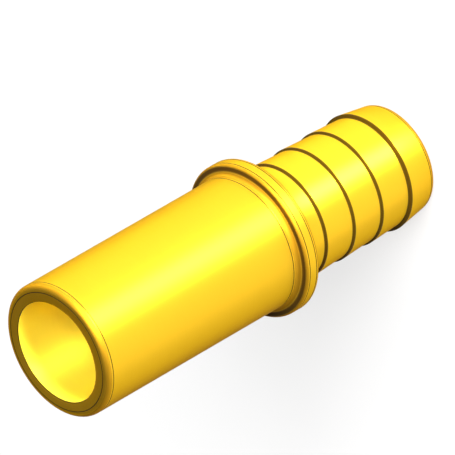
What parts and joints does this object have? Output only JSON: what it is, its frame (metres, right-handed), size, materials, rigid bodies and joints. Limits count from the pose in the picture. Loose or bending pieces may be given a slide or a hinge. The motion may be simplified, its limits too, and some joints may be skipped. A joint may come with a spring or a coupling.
{
  "type": "hose adapter",
  "caption": "Turned brass hose adapter: a plain round stem for a push-fit pipe socket, a rounded stop collar and a barbed tail for a hose, bored right through.",
  "frame": {"origin": "centre of the hose end's face, on the axis, at the foot of the standing part", "axes": "+Z along the axis from the hose end up to the stem's end; X and Y are any two directions square to it, since the part is round"},
  "size_m": [0.0174, 0.0174, 0.0491],
  "materials": {
    "brass": "bright turned brass, satin"
  },
  "bodies": {
    "root": {"hose_adapter": "brass"}
  },
  "joints": []
}
